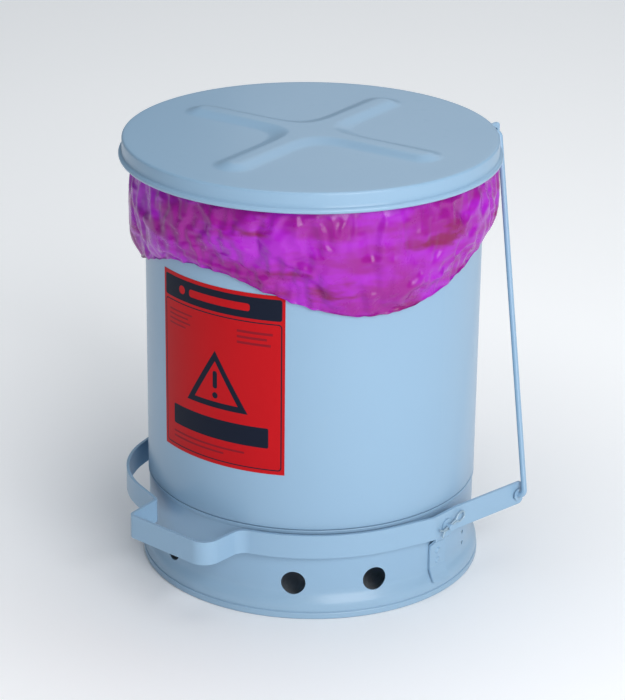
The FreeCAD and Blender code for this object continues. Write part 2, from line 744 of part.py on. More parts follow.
def makePedal():
    """One flat bar on edge, bent round the front of the can: pedal, both arms and the lift arm."""
    gauge = s.strapGauge.value
    line = s.pivotX.value + gauge / 2
    hug = 181.6
    splay = math.radians(7.0)
    armEnd = s.rodFootY.value + 9.0
    plan = [
        (line + (armEnd - 18.0) * math.tan(splay), armEnd), (line, 18.0), (line, -21.1),
        (143.3, -138.2), (56.0, -174.4), (56.0, -225.4), (-50.0, -225.4), (-56.5, -181.0),
        (-154.9, -149.5), (-line, -20.0), (-line, 24.0),
    ]
    bends = [40.0, 12.0, hug, 17.0, 17.0, 5.0, 4.0, 118.0, 40.0]
    middle = s.strapFoot.value + s.strapHeight.value / 2
    points = [Vector(x, y, middle) for x, y in plan]
    path = roundedWire(points, bends)
    start = path.Edges[0].valueAt(path.Edges[0].FirstParameter)
    along = path.Edges[0].tangentAt(path.Edges[0].FirstParameter)
    across = along.cross(Vector(0, 0, 1)).normalize() * (gauge / 2)
    up = Vector(0, 0, s.strapHeight.value / 2)
    corners = [start + across + up, start - across + up, start - across - up, start + across - up]
    section = Part.makePolygon(corners + [corners[0]])
    sweep = Part.BRepOffsetAPI.MakePipeShell(path)
    sweep.setBiNormalMode(Vector(0, 0, 1))
    sweep.add(section)
    sweep.build()
    sweep.makeSolid()
    bar = sweep.shape()
    ends = []
    for edge in bar.Edges:
        at = edge.valueAt((edge.FirstParameter + edge.LastParameter) / 2)
        if edge.Length < gauge * 1.05 and abs(abs(at.z - middle) - up.z) < 0.01:
            if at.y > 20:
                ends.append(edge)
    bar = bar.makeFillet(6.0, ends)
    hole = s.pinRadius.value + 0.1
    for side in (1, -1):
        at = Vector(side * (s.pivotX.value - 5), 0, s.pivotHeight.value)
        bar = bar.cut(Part.makeCylinder(hole, 14, at, Vector(side, 0, 0)))
    at = Vector(s.pivotX.value, s.rodFootY.value, s.rodFootZ.value)
    bar = bar.cut(Part.makeCylinder(s.rodRadius.value + 0.15, 24, at, Vector(1, 0, 0)))
    shaped("pedal_strap", bar)


def makeRod():
    """A round rod with both ends bent towards the can: one in the lift arm, one in the lid's ear."""
    foot = Vector(s.rodFootX.value, s.rodFootY.value, s.rodFootZ.value)
    head = Vector(s.rodHeadX.value, s.rodHeadY.value, s.rodHeadZ.value)
    points = [Vector(189.8, foot.y, foot.z), foot, head, Vector(90.8, head.y, head.z)]
    shaped("lift_rod", wireRod(roundedWire(points, [6.0, 6.0]), s.rodRadius.value))


def makeRing(label, x, y, z, radius, thick):
    ring = doc.addObject("Part::Cylinder", "Ring")
    ring.Radius, ring.Height = radius, thick
    bore = doc.addObject("Part::Cylinder", "RingBore")
    bind(bore, "Radius", s.rodRadius + 0.03)
    bore.Height = thick
    part = doc.addObject("Part::Cut", label)
    part.Base, part.Tool = ring, bore
    part.Label = label
    part.Placement = Placement(Vector(x, y, z), Rotation(Vector(0, 0, 1), Vector(1, 0, 0)))
    nodes.append(part)


def makeRodRings():
    foot = (s.rodFootY.value, s.rodFootZ.value)
    head = (s.rodHeadY.value, s.rodHeadZ.value)
    makeRing("rod_foot_washer", 199.5, *foot, 6.5, 1.2)
    makeRing("rod_foot_nut", 192.4, *foot, 6.0, 1.2)
    makeRing("rod_head_nut", s.earX.value - 2.0, *head, 5.2, 1.2)


def writeParts():
    doc.recompute()
    for item in doc.Objects:
        bad = [word for word in item.State if word in ("Invalid", "Error")]
        assert not bad, f"{item.Name} is {bad}: {item.getStatusString()}"
    for item in nodes:
        shape = item.Shape
        assert not shape.isNull() and shape.isValid(), f"{item.Label} has a bad shape"
    os.makedirs("parts", exist_ok=True)
    for item in nodes:
        item.Shape.exportStep(f"parts/{item.Label}.step")
        box = item.Shape.BoundBox
        print(f"{item.Label}: {len(item.Shape.Solids)} solid(s), {item.Shape.Volume / 1000:.2f} cm3, "
              f"X {box.XMin:.1f} {box.XMax:.1f} Y {box.YMin:.1f} {box.YMax:.1f} Z {box.ZMin:.1f} {box.ZMax:.1f}")


makeBodyShell()
makeBodyBottom()
makeBaseSkirt()
makeLabel()
makeLiner()
makeLid()
makeLinkEar()
makeHingeBodyLeaf()
makeHingeLidLeaf()
makeHingePin()
makeRivets()
makePivots()
makePedal()
makeRod()
makeRodRings()
writeParts()
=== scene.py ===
import bmesh
import bpy
import json
from math import atan2, cos, degrees, exp, hypot, pi, radians, sin
from mathutils import Matrix, Vector, noise


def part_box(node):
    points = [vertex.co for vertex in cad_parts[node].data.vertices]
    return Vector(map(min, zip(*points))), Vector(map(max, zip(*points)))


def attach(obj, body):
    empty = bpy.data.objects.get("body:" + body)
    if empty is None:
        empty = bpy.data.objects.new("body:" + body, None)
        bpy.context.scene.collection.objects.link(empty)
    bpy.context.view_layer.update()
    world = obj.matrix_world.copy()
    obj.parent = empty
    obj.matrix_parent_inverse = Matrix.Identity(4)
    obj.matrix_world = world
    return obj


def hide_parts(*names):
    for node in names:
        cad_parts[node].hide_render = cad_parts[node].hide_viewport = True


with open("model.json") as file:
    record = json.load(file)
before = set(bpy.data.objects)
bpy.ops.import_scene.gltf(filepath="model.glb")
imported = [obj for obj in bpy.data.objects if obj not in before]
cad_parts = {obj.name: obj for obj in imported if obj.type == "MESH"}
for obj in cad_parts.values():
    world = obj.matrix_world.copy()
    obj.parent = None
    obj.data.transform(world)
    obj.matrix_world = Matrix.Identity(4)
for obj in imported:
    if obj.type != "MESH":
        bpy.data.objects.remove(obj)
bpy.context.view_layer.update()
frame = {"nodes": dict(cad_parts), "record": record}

nodes = frame["nodes"]

# Metres. Z is up, -Y is the front with the pedal, +Y the lid hinge, +X the lift rod.


class Value:  # a socket that can be used in sums
    def __init__(self, tree, socket):
        self.tree, self.socket = tree, socket

    def math(self, operation, *others):
        return self.tree.add("ShaderNodeMath", {"operation": operation}, self, *others)

    def back(self, operation, other):
        return self.tree.add("ShaderNodeMath", {"operation": operation}, other, self)

    def __add__(self, other):
        return self.math("ADD", other)

    def __sub__(self, other):
        return self.math("SUBTRACT", other)

    def __mul__(self, other):
        return self.math("MULTIPLY", other)

    def __truediv__(self, other):
        return self.math("DIVIDE", other)

    def __radd__(self, other):
        return self.back("ADD", other)

    def __rsub__(self, other):
        return self.back("SUBTRACT", other)

    def __rmul__(self, other):
        return self.back("MULTIPLY", other)

    def __rtruediv__(self, other):
        return self.back("DIVIDE", other)

    def __pow__(self, other):
        return self.math("POWER", other)

    def __abs__(self):
        return self.math("ABSOLUTE")

    def atLeast(self, other):
        return self.math("MAXIMUM", other)

    def atMost(self, other):
        return self.math("MINIMUM", other)

    def step(self, low, high):  # 0 below low, 1 above high, smooth between
        return self.tree.add("ShaderNodeMapRange", {"interpolation_type": "SMOOTHSTEP"},
                             self, low, high, 0.0, 1.0)


class Tree:
    def __init__(self, tree):
        self.tree = tree

    def feed(self, socket, value):
        if isinstance(value, Value):
            self.tree.links.new(value.socket, socket)
        elif value is not None:
            socket.default_value = value

    def add(self, kind, settings=None, *values, out=0, **named):
        node = self.tree.nodes.new(kind)
        for key, setting in (settings or {}).items():
            setattr(node, key, setting)
        for place, value in enumerate(values):
            self.feed(node.inputs[place], value)
        for name, value in named.items():
            self.feed(node.inputs[name.replace("_", " ")], value)
        return Value(self, node.outputs[out])

    def mix(self, factor, first, second):
        node = self.add("ShaderNodeMix", {"data_type": "RGBA"}, out=2).socket.node
        for place, value in ((0, factor), (6, first), (7, second)):
            self.feed(node.inputs[place], value)
        return Value(self, node.outputs[2])

    def place(self):  # the point's X, Y and Z on the piece
        at = self.add("ShaderNodeTexCoord", out=3)
        split = self.add("ShaderNodeSeparateXYZ", None, at).socket.node
        return at, [Value(self, output) for output in split.outputs]

    def noise(self, at, scale, detail=2.0, rough=0.5):
        return self.add("ShaderNodeTexNoise", None, Vector=at, Scale=scale, Detail=detail, Roughness=rough)


def newMaterial(name):
    finish = bpy.data.materials.new(name)
    finish.use_nodes = True
    shader = finish.node_tree.nodes["Principled BSDF"]
    return finish, Tree(finish.node_tree), shader


def wear(piece, finish):
    piece.data.materials.clear()
    piece.data.materials.append(finish)


def newPiece(name, verts, edges=(), faces=()):
    mesh = bpy.data.meshes.new(name)
    mesh.from_pydata(verts, edges, faces)
    piece = bpy.data.objects.new(name, mesh)
    bpy.context.scene.collection.objects.link(piece)
    return piece


paint = {
    "colour": (0.280, 0.436, 0.590, 1), "shade": (0.263, 0.416, 0.574, 1), "roughness": 0.32,
    "peelScale": 620.0, "peelDepth": 0.00006, "cloudScale": 7.0, "coat": 0.16, "coatRoughness": 0.14,
    "gloss": 0.34, "scuffScale": 46.0, "scuffs": (0.60, 0.78),
    "dust": (0.33, 0.44, 0.53, 1), "dustTop": 0.045,
}


def makePaint():
    finish, tree, shader = newMaterial("bluePowderCoat")
    at, (x, y, z) = tree.place()
    clouds = tree.noise(at, paint["cloudScale"], 3.0)
    peel = tree.noise(at, paint["peelScale"], 1.5, 0.4)
    scuffs = tree.noise(at, paint["scuffScale"], 3.0, 0.7).step(*paint["scuffs"])
    low = 1 - z.step(0.0, paint["dustTop"])           # a little dust near the floor
    shade = tree.mix(clouds, paint["colour"], paint["shade"])
    tree.feed(shader.inputs["Base Color"], tree.mix(low * 0.22 + scuffs * 0.10, shade, paint["dust"]))
    tree.feed(shader.inputs["Roughness"], paint["roughness"] + clouds * 0.05 + scuffs * 0.08)
    bump = tree.add("ShaderNodeBump", None, Strength=0.5, Distance=paint["peelDepth"], Height=peel)
    tree.feed(shader.inputs["Normal"], bump)
    shader.inputs["Coat Weight"].default_value = paint["coat"]
    shader.inputs["Coat Roughness"].default_value = paint["coatRoughness"]
    shader.inputs["Specular IOR Level"].default_value = paint["gloss"]
    return finish


plating = {"dark": (0.30, 0.42, 0.52, 1), "light": (0.40, 0.53, 0.63, 1), "metal": 0.35, "grainScale": 900.0}


def makePlating():
    finish, tree, shader = newMaterial("dullPlating")
    at, axes = tree.place()
    grain = tree.noise(at, plating["grainScale"], 3.0)
    tree.feed(shader.inputs["Base Color"], tree.mix(grain, plating["dark"], plating["light"]))
    tree.feed(shader.inputs["Roughness"], 0.28 + grain * 0.2)
    shader.inputs["Metallic"].default_value = plating["metal"]
    return finish


labelPrint = {
    "red": (0.52, 0.004, 0.009, 1), "dark": (0.006, 0.010, 0.024, 1), "roughness": 0.42,
    "faded": (0.47, 0.004, 0.008, 1), "gloss": 0.12, "radius": 0.1758, "turn": 7.2, "low": 0.159,
    "edge": 0.0737, "lineWidth": 0.0004,
    "heading": (0.166, 0.189, 0.003), "border": (0.004, 0.163, 0.004, 0.0012),
    "triangle": ((0.062, 0.124, 0.038), (0.0685, 0.1125, 0.0268)),
    # left, right, low, high and corner round of each plain bar
    "bars": [
        (-0.0028, 0.0028, 0.083, 0.102, 0.0026), (-0.060, 0.060, 0.028, 0.050, 0.002),
        (-0.060, 0.034, 0.0185, 0.0205, 0), (-0.060, 0.010, 0.0130, 0.0150, 0),
        (0.026, 0.064, 0.150, 0.1525, 0), (0.026, 0.058, 0.144, 0.1465, 0), (0.026, 0.062, 0.138, 0.1405, 0),
        (-0.066, -0.030, 0.152, 0.1536, 0), (-0.066, -0.036, 0.147, 0.1486, 0),
        (-0.066, -0.033, 0.142, 0.1436, 0), (-0.066, -0.040, 0.137, 0.1386, 0),
    ],
    "dot": (0.0, 0.0755, 0.0034), "lightBar": (-0.034, 0.040, 0.1735, 0.1815, 0.003),
    "lightDot": (-0.045, 0.1775, 0.0045),
}


def makeLabelPrint():
    # u runs across the label from its middle, v up from its lower edge, both in metres
    finish, tree, shader = newMaterial("printedLabel")
    at, (x, y, z) = tree.place()
    u = (x.math("ARCTAN2", y * -1) - radians(labelPrint["turn"])) * labelPrint["radius"]
    v = z - labelPrint["low"]
    line = labelPrint["lineWidth"]

    def box(left, right, low, high, corner):  # 1 inside
        du = (abs(u - (left + right) / 2) - ((right - left) / 2 - corner)).atLeast(0.0)
        dv = (abs(v - (low + high) / 2) - ((high - low) / 2 - corner)).atLeast(0.0)
        out = (du * du + dv * dv) ** 0.5 - corner
        return 1 - out.step(-line / 2, line / 2)

    def disc(midU, midV, radius):
        out = ((u - midU) * (u - midU) + (v - midV) * (v - midV)) ** 0.5 - radius
        return 1 - out.step(-line / 2, line / 2)

    def triangle(foot, tip, half):
        rise = tip - foot
        side = (abs(u) - (tip - v) * (half / rise)).math("MULTIPLY", rise / hypot(rise, half))
        return (1 - side.step(-line / 2, line / 2)) * (v - foot).step(-line / 2, line / 2)

    edge = labelPrint["edge"]
    low, high, corner, thick = labelPrint["border"]
    inner = box(-edge + thick, edge - thick, low + thick, high - thick, corner - thick + 0.0004)
    outside, inside = labelPrint["triangle"]
    marks = [
        box(-edge, edge, *labelPrint["heading"]),
        box(-edge, edge, low, high, corner) * (1 - inner),
        triangle(*outside) * (1 - triangle(*inside)),
        disc(*labelPrint["dot"]),
    ]
    dark = marks[0]
    for mark in marks[1:] + [box(*bar) for bar in labelPrint["bars"]]:
        dark = dark.atLeast(mark)
    dark = dark * (1 - box(*labelPrint["lightBar"]).atLeast(disc(*labelPrint["lightDot"])))
    grain = tree.noise(at, 1400.0, 2.0)
    fade = tree.noise(at, 22.0, 3.0)
    red = tree.mix(fade, labelPrint["red"], labelPrint["faded"])
    tree.feed(shader.inputs["Base Color"], tree.mix(dark, red, labelPrint["dark"]))
    tree.feed(shader.inputs["Roughness"], labelPrint["roughness"] + dark * 0.08 + fade * 0.05)
    bump = tree.add("ShaderNodeBump", None, Strength=0.4, Distance=0.00004, Height=grain + dark * 1.5)
    tree.feed(shader.inputs["Normal"], bump)
    shader.inputs["Specular IOR Level"].default_value = labelPrint["gloss"]
    return finish


# The film's colours are painted light and shade: a lit purple, a shaded crimson, and a darker crimson that is
# painted shade for its folds.
film = {
    "light": (0.37, 0.010, 0.50, 1), "inShade": (0.29, 0.004, 0.250, 1), "fold": (0.21, 0.001, 0.055, 1),
    "roughness": 0.22, "coat": 0.12, "coatRoughness": 0.10, "gloss": 0.32, "reach": 0.18,
    "creaseScale": 15.0, "lineScale": 8.0, "depth": 0.0060,
}


def makeFilm():
    finish, tree, shader = newMaterial("magentaFilm")
    at, (x, y, z) = tree.place()
    turn = x.math("ARCTAN2", y * -1)
    sheet = tree.add("ShaderNodeCombineXYZ", None, turn * film["reach"], z, 0.0)  # the film laid flat
    # the same, pressed so that its lines run round the can
    bands = tree.add("ShaderNodeCombineXYZ", None, turn * film["reach"] + z * 0.5, z * 2.6, 3.0)

    def creases(at, scale, twist):
        return tree.add("ShaderNodeTexNoise", {"noise_type": "RIDGED_MULTIFRACTAL", "normalize": True},
                        Vector=at, Scale=scale, Detail=3.0, Roughness=0.45, Lacunarity=2.2, Distortion=twist)

    folds, lines = creases(sheet, film["creaseScale"], 1.1), creases(bands, film["lineScale"], 0.8)
    soft = tree.noise(at, 34.0, 4.0, 0.6)
    litShadeMask = tree.noise(bands, 12.0, 3.0, 0.55)
    # painted light and shade: noise mixes the lit purple with the shaded crimson
    colour = tree.mix(litShadeMask.step(0.40, 0.62), film["light"], film["inShade"])
    # painted shade in the folds: a darker crimson laid in noise bands
    colour = tree.mix(tree.noise(bands, 9.0, 4.0, 0.6).step(0.54, 0.68) * 0.9, colour, film["fold"])
    tree.feed(shader.inputs["Base Color"], colour)
    tree.feed(shader.inputs["Roughness"], film["roughness"] + soft * 0.12)
    bump = tree.add("ShaderNodeBump", None, Strength=0.85, Distance=film["depth"],
                    Height=folds * 0.6 + lines * 0.4)
    tree.feed(shader.inputs["Normal"], bump)
    shader.inputs["Coat Weight"].default_value = film["coat"]
    shader.inputs["Coat Roughness"].default_value = film["coatRoughness"]
    shader.inputs["Specular IOR Level"].default_value = film["gloss"]
    return finish


finishes = {
    "painted_steel": makePaint(), "plated_wire": makePlating(),
    "label_film": makeLabelPrint(), "liner_film": makeFilm(),
}
for part in frame["record"]["subparts"]:
    wear(nodes[part["node"]], finishes[part["material_slot"]])
print("finishes done")


def treeModifier(piece, tree, **sizes):
    mod = piece.modifiers.new("Maker", "NODES")
    mod.node_group = tree
    for item in tree.interface.items_tree:
        if item.item_type == "SOCKET" and item.in_out == "INPUT" and item.name in sizes:
            mod[item.identifier] = sizes[item.name]
    return mod


def newTree(name, inputs):
    group = bpy.data.node_groups.new(name, "GeometryNodeTree")
    group.interface.new_socket("Geometry", in_out="INPUT", socket_type="NodeSocketGeometry")
    for label, kind, value in inputs:
        socket = group.interface.new_socket(label, in_out="INPUT", socket_type=kind)
        if value is not None:
            socket.default_value = value
    group.interface.new_socket("Geometry", in_out="OUTPUT", socket_type="NodeSocketGeometry")
    tree = Tree(group)
    entry = group.nodes.new("NodeGroupInput")
    return tree, {output.name: Value(tree, output) for output in entry.outputs if output.name}


def endTree(tree, geometry, finish):
    real = tree.add("GeometryNodeRealizeInstances", None, geometry)
    worn = tree.add("GeometryNodeSetMaterial", None, real, Material=finish)
    leave = tree.tree.nodes.new("NodeGroupOutput")
    tree.feed(leave.inputs[0], worn)


def bake(piece, name):  # the tree's result as a plain mesh
    ready = piece.evaluated_get(bpy.context.evaluated_depsgraph_get())
    mesh = bpy.data.meshes.new_from_object(ready)
    bpy.data.objects.remove(piece)
    result = bpy.data.objects.new(name, mesh)
    bpy.context.scene.collection.objects.link(result)
    result.data.polygons.foreach_set("use_smooth", [True] * len(mesh.polygons))
    return result


rivets = {
    "sink": 0.0003, "bulge": 0.47, "rings": 7, "sides": 20,
    "hingeFace": 0.17765, "hingeHalf": 0.018, "hingeUp": (0.009, 0.029), "hingeRadius": 0.004,
    "lidFace": 0.1939, "lidHalf": 0.02, "lidRadius": 0.0034,
    "earReach": 0.1965, "earAngles": (62.6, 66.2), "earRadius": 0.003,
    "bracketFace": 0.17695, "bracketUp": (0.0375, 0.0485), "bracketRadius": 0.0038,
}


def rivetTree():
    tree, given = newTree("rivets", [
        ("Radius", "NodeSocketFloat", 0.004), ("Bulge", "NodeSocketFloat", 0.45),
        ("Sink", "NodeSocketFloat", 0.0),
    ])
    ball = tree.add("GeometryNodeMeshUVSphere", None, Segments=rivets["sides"], Rings=rivets["rings"],
                    Radius=given["Radius"])
    size = tree.add("ShaderNodeCombineXYZ", None, 1.0, 1.0, given["Bulge"])
    head = tree.add("GeometryNodeTransform", None, ball, Scale=size)
    out = tree.add("GeometryNodeInputNamedAttribute", {"data_type": "FLOAT_VECTOR"}, Name="out")
    turn = tree.add("FunctionNodeAlignRotationToVector", {"axis": "Z"}, Vector=out)
    lower = tree.add("ShaderNodeVectorMath", {"operation": "SCALE"}, out, Scale=given["Sink"] * -1)
    points = tree.add("GeometryNodeSetPosition", None, given["Geometry"], Offset=lower)
    placed = tree.add("GeometryNodeInstanceOnPoints", None, points, Instance=head, Rotation=turn)
    endTree(tree, placed, finishes["painted_steel"])
    return tree.tree


rivetMaker = rivetTree()


def makeRivets(node, body, places, radius):
    start = newPiece(node + "_places", [at for at, out in places])
    outs = start.data.attributes.new("out", "FLOAT_VECTOR", "POINT")
    for entry, (at, out) in zip(outs.data, places):
        entry.vector = out
    treeModifier(start, rivetMaker, Radius=radius, Bulge=rivets["bulge"], Sink=rivets["sink"])
    piece = bake(start, node + "_heads")
    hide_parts(node)
    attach(piece, body)


def makeAllRivets():
    back = (0, 1, 0)
    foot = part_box("hinge_body_leaf")[0].z
    low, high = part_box("hinge_lid_rivets")
    middle = (low.z + high.z) / 2
    half, face = rivets["hingeHalf"], rivets["hingeFace"]
    places = [((x, face, foot + up), back) for x in (-half, half) for up in rivets["hingeUp"]]
    makeRivets("hinge_body_rivets", "can", places, rivets["hingeRadius"])
    half, face = rivets["lidHalf"], rivets["lidFace"]
    places = [((x, face, middle), back) for x in (-half, half)]
    makeRivets("hinge_lid_rivets", "lid", places, rivets["lidRadius"])
    places = []
    for angle in rivets["earAngles"]:
        out = Vector((cos(radians(angle)), sin(radians(angle)), 0))
        places.append((Vector(lid["middle"]) + out * rivets["earReach"] + Vector((0, 0, middle)), out))
    makeRivets("link_ear_rivets", "lid", places, rivets["earRadius"])
    face = rivets["bracketFace"]
    places = [((side * face, 0, up), (side, 0, 0)) for side in (1, -1) for up in rivets["bracketUp"]]
    makeRivets("pivot_bracket_rivets", "can", places, rivets["bracketRadius"])


# The lid is a spun and pressed sheet with a raised cross.
lid = {
    "middle": (-0.0032, -0.0026, 0.0), "around": 256, "top": 0.466, "radius": 0.1944, "shoulder": 0.0026,
    "foot": 0.445, "gauge": 0.0011, "ribTurn": 7.2, "ribReach": 0.134, "ribHalf": 0.0140, "ribHeight": 0.0044,
    "ribSlope": 0.017, "ribCorner": 0.060,
}


def lidProfile():
    top, radius, foot, bend = lid["top"], lid["radius"], lid["foot"], lid["shoulder"]
    line = [(0.0, top)] + [(0.0017 * step, top) for step in range(1, 111)]
    for step in range(9):
        turn = pi / 2 * step / 8
        line.append((radius - bend + bend * sin(turn), top - bend + bend * cos(turn)))
    line += [(radius, foot + 0.0105), (radius, foot + 0.0062), (radius + 0.0004, foot + 0.0056)]
    for step in range(11):                      # rolled bead
        turn = radians(75 - 18 * step)
        line.append((radius + 0.0010 + 0.0026 * cos(turn), foot + 0.0027 + 0.0027 * sin(turn)))
    inner = radius - lid["gauge"]
    line += [(inner, foot + 0.0016), (inner, foot + 0.008), (inner, top - bend)]
    for step in range(1, 7):
        turn = pi / 2 * step / 6
        reach = bend - lid["gauge"]
        line.append((radius - bend + reach * cos(turn), top - bend + reach * sin(turn)))
    line += [(0.0034 * step, top - lid["gauge"]) for step in range(54, 0, -1)] + [(0.0, top - lid["gauge"])]
    return line


def lidTree(finish):
    tree, given = newTree("pressedLid", [
        ("Around", "NodeSocketInt", 256), ("Rib Turn", "NodeSocketFloat", 0.1),
        ("Rib Reach", "NodeSocketFloat", 0.1),
        ("Rib Half", "NodeSocketFloat", 0.01), ("Rib Height", "NodeSocketFloat", 0.003),
        ("Rib Slope", "NodeSocketFloat", 0.01), ("Rib Corner", "NodeSocketFloat", 0.02),
    ])
    rows = tree.add("GeometryNodeAttributeDomainSize", None, given["Geometry"])
    grid = tree.add("GeometryNodeMeshGrid", None, Vertices_X=given["Around"] + 1, Vertices_Y=rows)
    index = tree.add("GeometryNodeInputIndex")
    column = (index / rows).math("FLOOR")
    row = index - column * rows
    line = tree.add("GeometryNodeSampleIndex", {"data_type": "FLOAT_VECTOR"}, given["Geometry"],
                    tree.add("GeometryNodeInputPosition"), row)
    split = tree.add("ShaderNodeSeparateXYZ", None, line).socket.node
    reach, height = Value(tree, split.outputs[0]), Value(tree, split.outputs[2])
    turn = column / given["Around"] * (2 * pi)
    x, y = reach * turn.math("COSINE"), reach * turn.math("SINE")
    across = turn - given["Rib Turn"]
    along, side = abs(reach * across.math("COSINE")), abs(reach * across.math("SINE"))

    def bar(first, second):  # distance from a rib with round ends
        over = (first - given["Rib Reach"]).atLeast(0.0)
        return (over * over + second * second) ** 0.5

    near = bar(along, side).math("SMOOTH_MIN", bar(side, along), given["Rib Corner"])
    slope = given["Rib Slope"]
    share = ((given["Rib Half"] + slope * 0.5 - near) / slope).atLeast(0.0).atMost(1.0)
    rise = share * share * (3 - share * 2) * given["Rib Height"]
    inside = 1 - (reach - 0.17).atLeast(0.0).atMost(0.001) * 1000
    spun = tree.add("ShaderNodeCombineXYZ", None, x, y, height + rise * inside)
    shaped = tree.add("GeometryNodeSetPosition", None, grid, Position=spun)
    closed = tree.add("GeometryNodeMergeByDistance", None, shaped, Distance=0.00001)
    endTree(tree, closed, finish)
    return tree.tree


def makeLid():
    line = lidProfile()
    start = newPiece("lid_line", [(r, 0, z) for r, z in line], [(i, i + 1) for i in range(len(line) - 1)])
    sizes = {"Around": lid["around"], "Rib Turn": radians(lid["ribTurn"]), "Rib Reach": lid["ribReach"],
             "Rib Half": lid["ribHalf"], "Rib Height": lid["ribHeight"], "Rib Slope": lid["ribSlope"],
             "Rib Corner": lid["ribCorner"]}
    treeModifier(start, lidTree(finishes["painted_steel"]), **sizes)
    piece = bake(start, "lid_pressing")
    piece.data.transform(Matrix.Translation(lid["middle"]))
    mend = bmesh.new()
    mend.from_mesh(piece.data)
    bmesh.ops.recalc_face_normals(mend, faces=mend.faces)
    mend.to_mesh(piece.data)
    mend.free()
    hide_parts("lid_shell")
    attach(piece, "lid")


makeLid()
print("lid done")
makeAllRivets()
print("rivets done")


# The liner is one film bag, its mouth folded over the rim and gathered.
bag = {
    "around": 270, "cuffRows": 40, "insideRows": 18, "floorRows": 8, "wallRadius": 0.1716, "floor": 0.0660,
    "rimTop": 0.4590, "hemMiddle": 0.351, "hemSwing": 0.020, "hemLow": 62.0, "hemRadius": 0.1772,
    "bulge": 0.0205, "spare": 0.075, "frames": 26, "notch": 11.5, "hingeHem": 0.4400,
    "shoulderZ": 0.443, "shoulderR": 0.1866, "wallStandIn": (0.1762, 0.28, 0.447),
    "foldRadius": 0.182, "steepSide": 0.35, "wallLimit": 0.1765,
    "bellyLimit": 0.1925, "rimLimit": 0.1878, "limitHeight": 0.441, "backLimit": 0.1868, "backHalf": 0.08,
}


def hemHeight(angle):
    swing = bag["hemMiddle"] - bag["hemSwing"] * cos(3 * (angle - radians(bag["hemLow"])))
    swing += 0.0022 * noise.noise(Vector((cos(angle) * 5, sin(angle) * 5, 3.0)))
    away = min(1.0, max(0.0, (abs(degrees(angle) - 180) - bag["notch"]) / 8))
    tucked = 1 - away * away * (3 - 2 * away)         # 1 at the hinge
    return swing + (bag["hingeHem"] - swing) * tucked


def bagRows():
    # each row is a function of the angle, from the hem over the rim to the middle of the floor
    rows = []
    shoulderZ, shoulderR = bag["shoulderZ"], bag["shoulderR"]
    for step in range(bag["cuffRows"]):
        share = step / (bag["cuffRows"] - 1)

        def cuff(angle, share=share):
            foot = hemHeight(angle)
            height = foot + (shoulderZ - foot) * share
            base = bag["hemRadius"] + (shoulderR - bag["hemRadius"]) * min(1.0, share * 1.15) ** 0.7
            belly = bag["bulge"] * sin(pi * min(1.0, share * 1.02)) ** 0.8 * 0.55
            wave = noise.fractal(Vector((cos(angle) * 7, sin(angle) * 7, share * 1.3)), 0.7, 2.0, 3)
            return base + belly + wave * 0.0035 * sin(pi * share) ** 0.5, height
        rows.append(cuff)
    rim = [(0.1856, 0.4475), (0.1843, 0.4525), (0.1828, 0.4568), (0.1800, bag["rimTop"]),
           (0.1765, bag["rimTop"]), (0.1738, 0.4570), (0.1722, 0.4520)]
    rows += [lambda angle, at=at: at for at in rim]
    for step in range(1, bag["insideRows"] + 1):
        share = step / bag["insideRows"]
        height = 0.4520 + (bag["floor"] + 0.007 - 0.4520) * share

        def wall(angle, share=share, height=height):
            fold = noise.fractal(Vector((cos(angle) * 6, sin(angle) * 6, height * 3)), 0.8, 2.0, 3)
            return bag["wallRadius"] - 0.0035 * abs(fold) * min(1.0, 4 * share), height
        rows.append(wall)
    for step in range(1, bag["floorRows"] + 1):
        share = step / bag["floorRows"]
        radius = (bag["wallRadius"] - 0.005) * (1 - share) + 0.0004

        def bottom(angle, radius=radius):
            at = Vector((cos(angle) * radius * 30, sin(angle) * radius * 30, 1.0))
            return radius, bag["floor"] + 0.002 * abs(noise.fractal(at, 0.8, 2.0, 3))
        rows.append(bottom)
    return rows


def makeBag():
    rows, around = bagRows(), bag["around"]
    verts, faces = [], []
    for row in rows:
        for column in range(around):
            angle = 2 * pi * column / around
            radius, height = row(angle)
            verts.append((radius * sin(angle), -radius * cos(angle), height))
    for line in range(len(rows) - 1):
        for column in range(around):
            near, far = line * around + column, line * around + (column + 1) % around
            faces.append((near, far, far + around, near + around))
    last = (len(rows) - 1) * around
    faces.append(tuple(last + column for column in range(around)))
    piece = newPiece("liner_film", verts, (), faces)
    piece.data.polygons.foreach_set("use_smooth", [True] * len(piece.data.polygons))
    return piece, len(rows)


def holdGroup(piece, rowCount):
    around = bag["around"]
    hold = piece.vertex_groups.new(name="hold")
    hold.add(list(range(around)), 1.0, "REPLACE")
    hold.add(list(range((bag["cuffRows"] - 2) * around, rowCount * around)), 1.0, "REPLACE")


def standIn(name, radius, low, high):
    sides = 96
    ring = [(radius * cos(2 * pi * i / sides), radius * sin(2 * pi * i / sides)) for i in range(sides)]
    verts = [(x, y, low) for x, y in ring] + [(x, y, high) for x, y in ring]
    faces = [(i, (i + 1) % sides, sides + (i + 1) % sides, sides + i) for i in range(sides)]
    return newPiece(name, verts, (), faces)


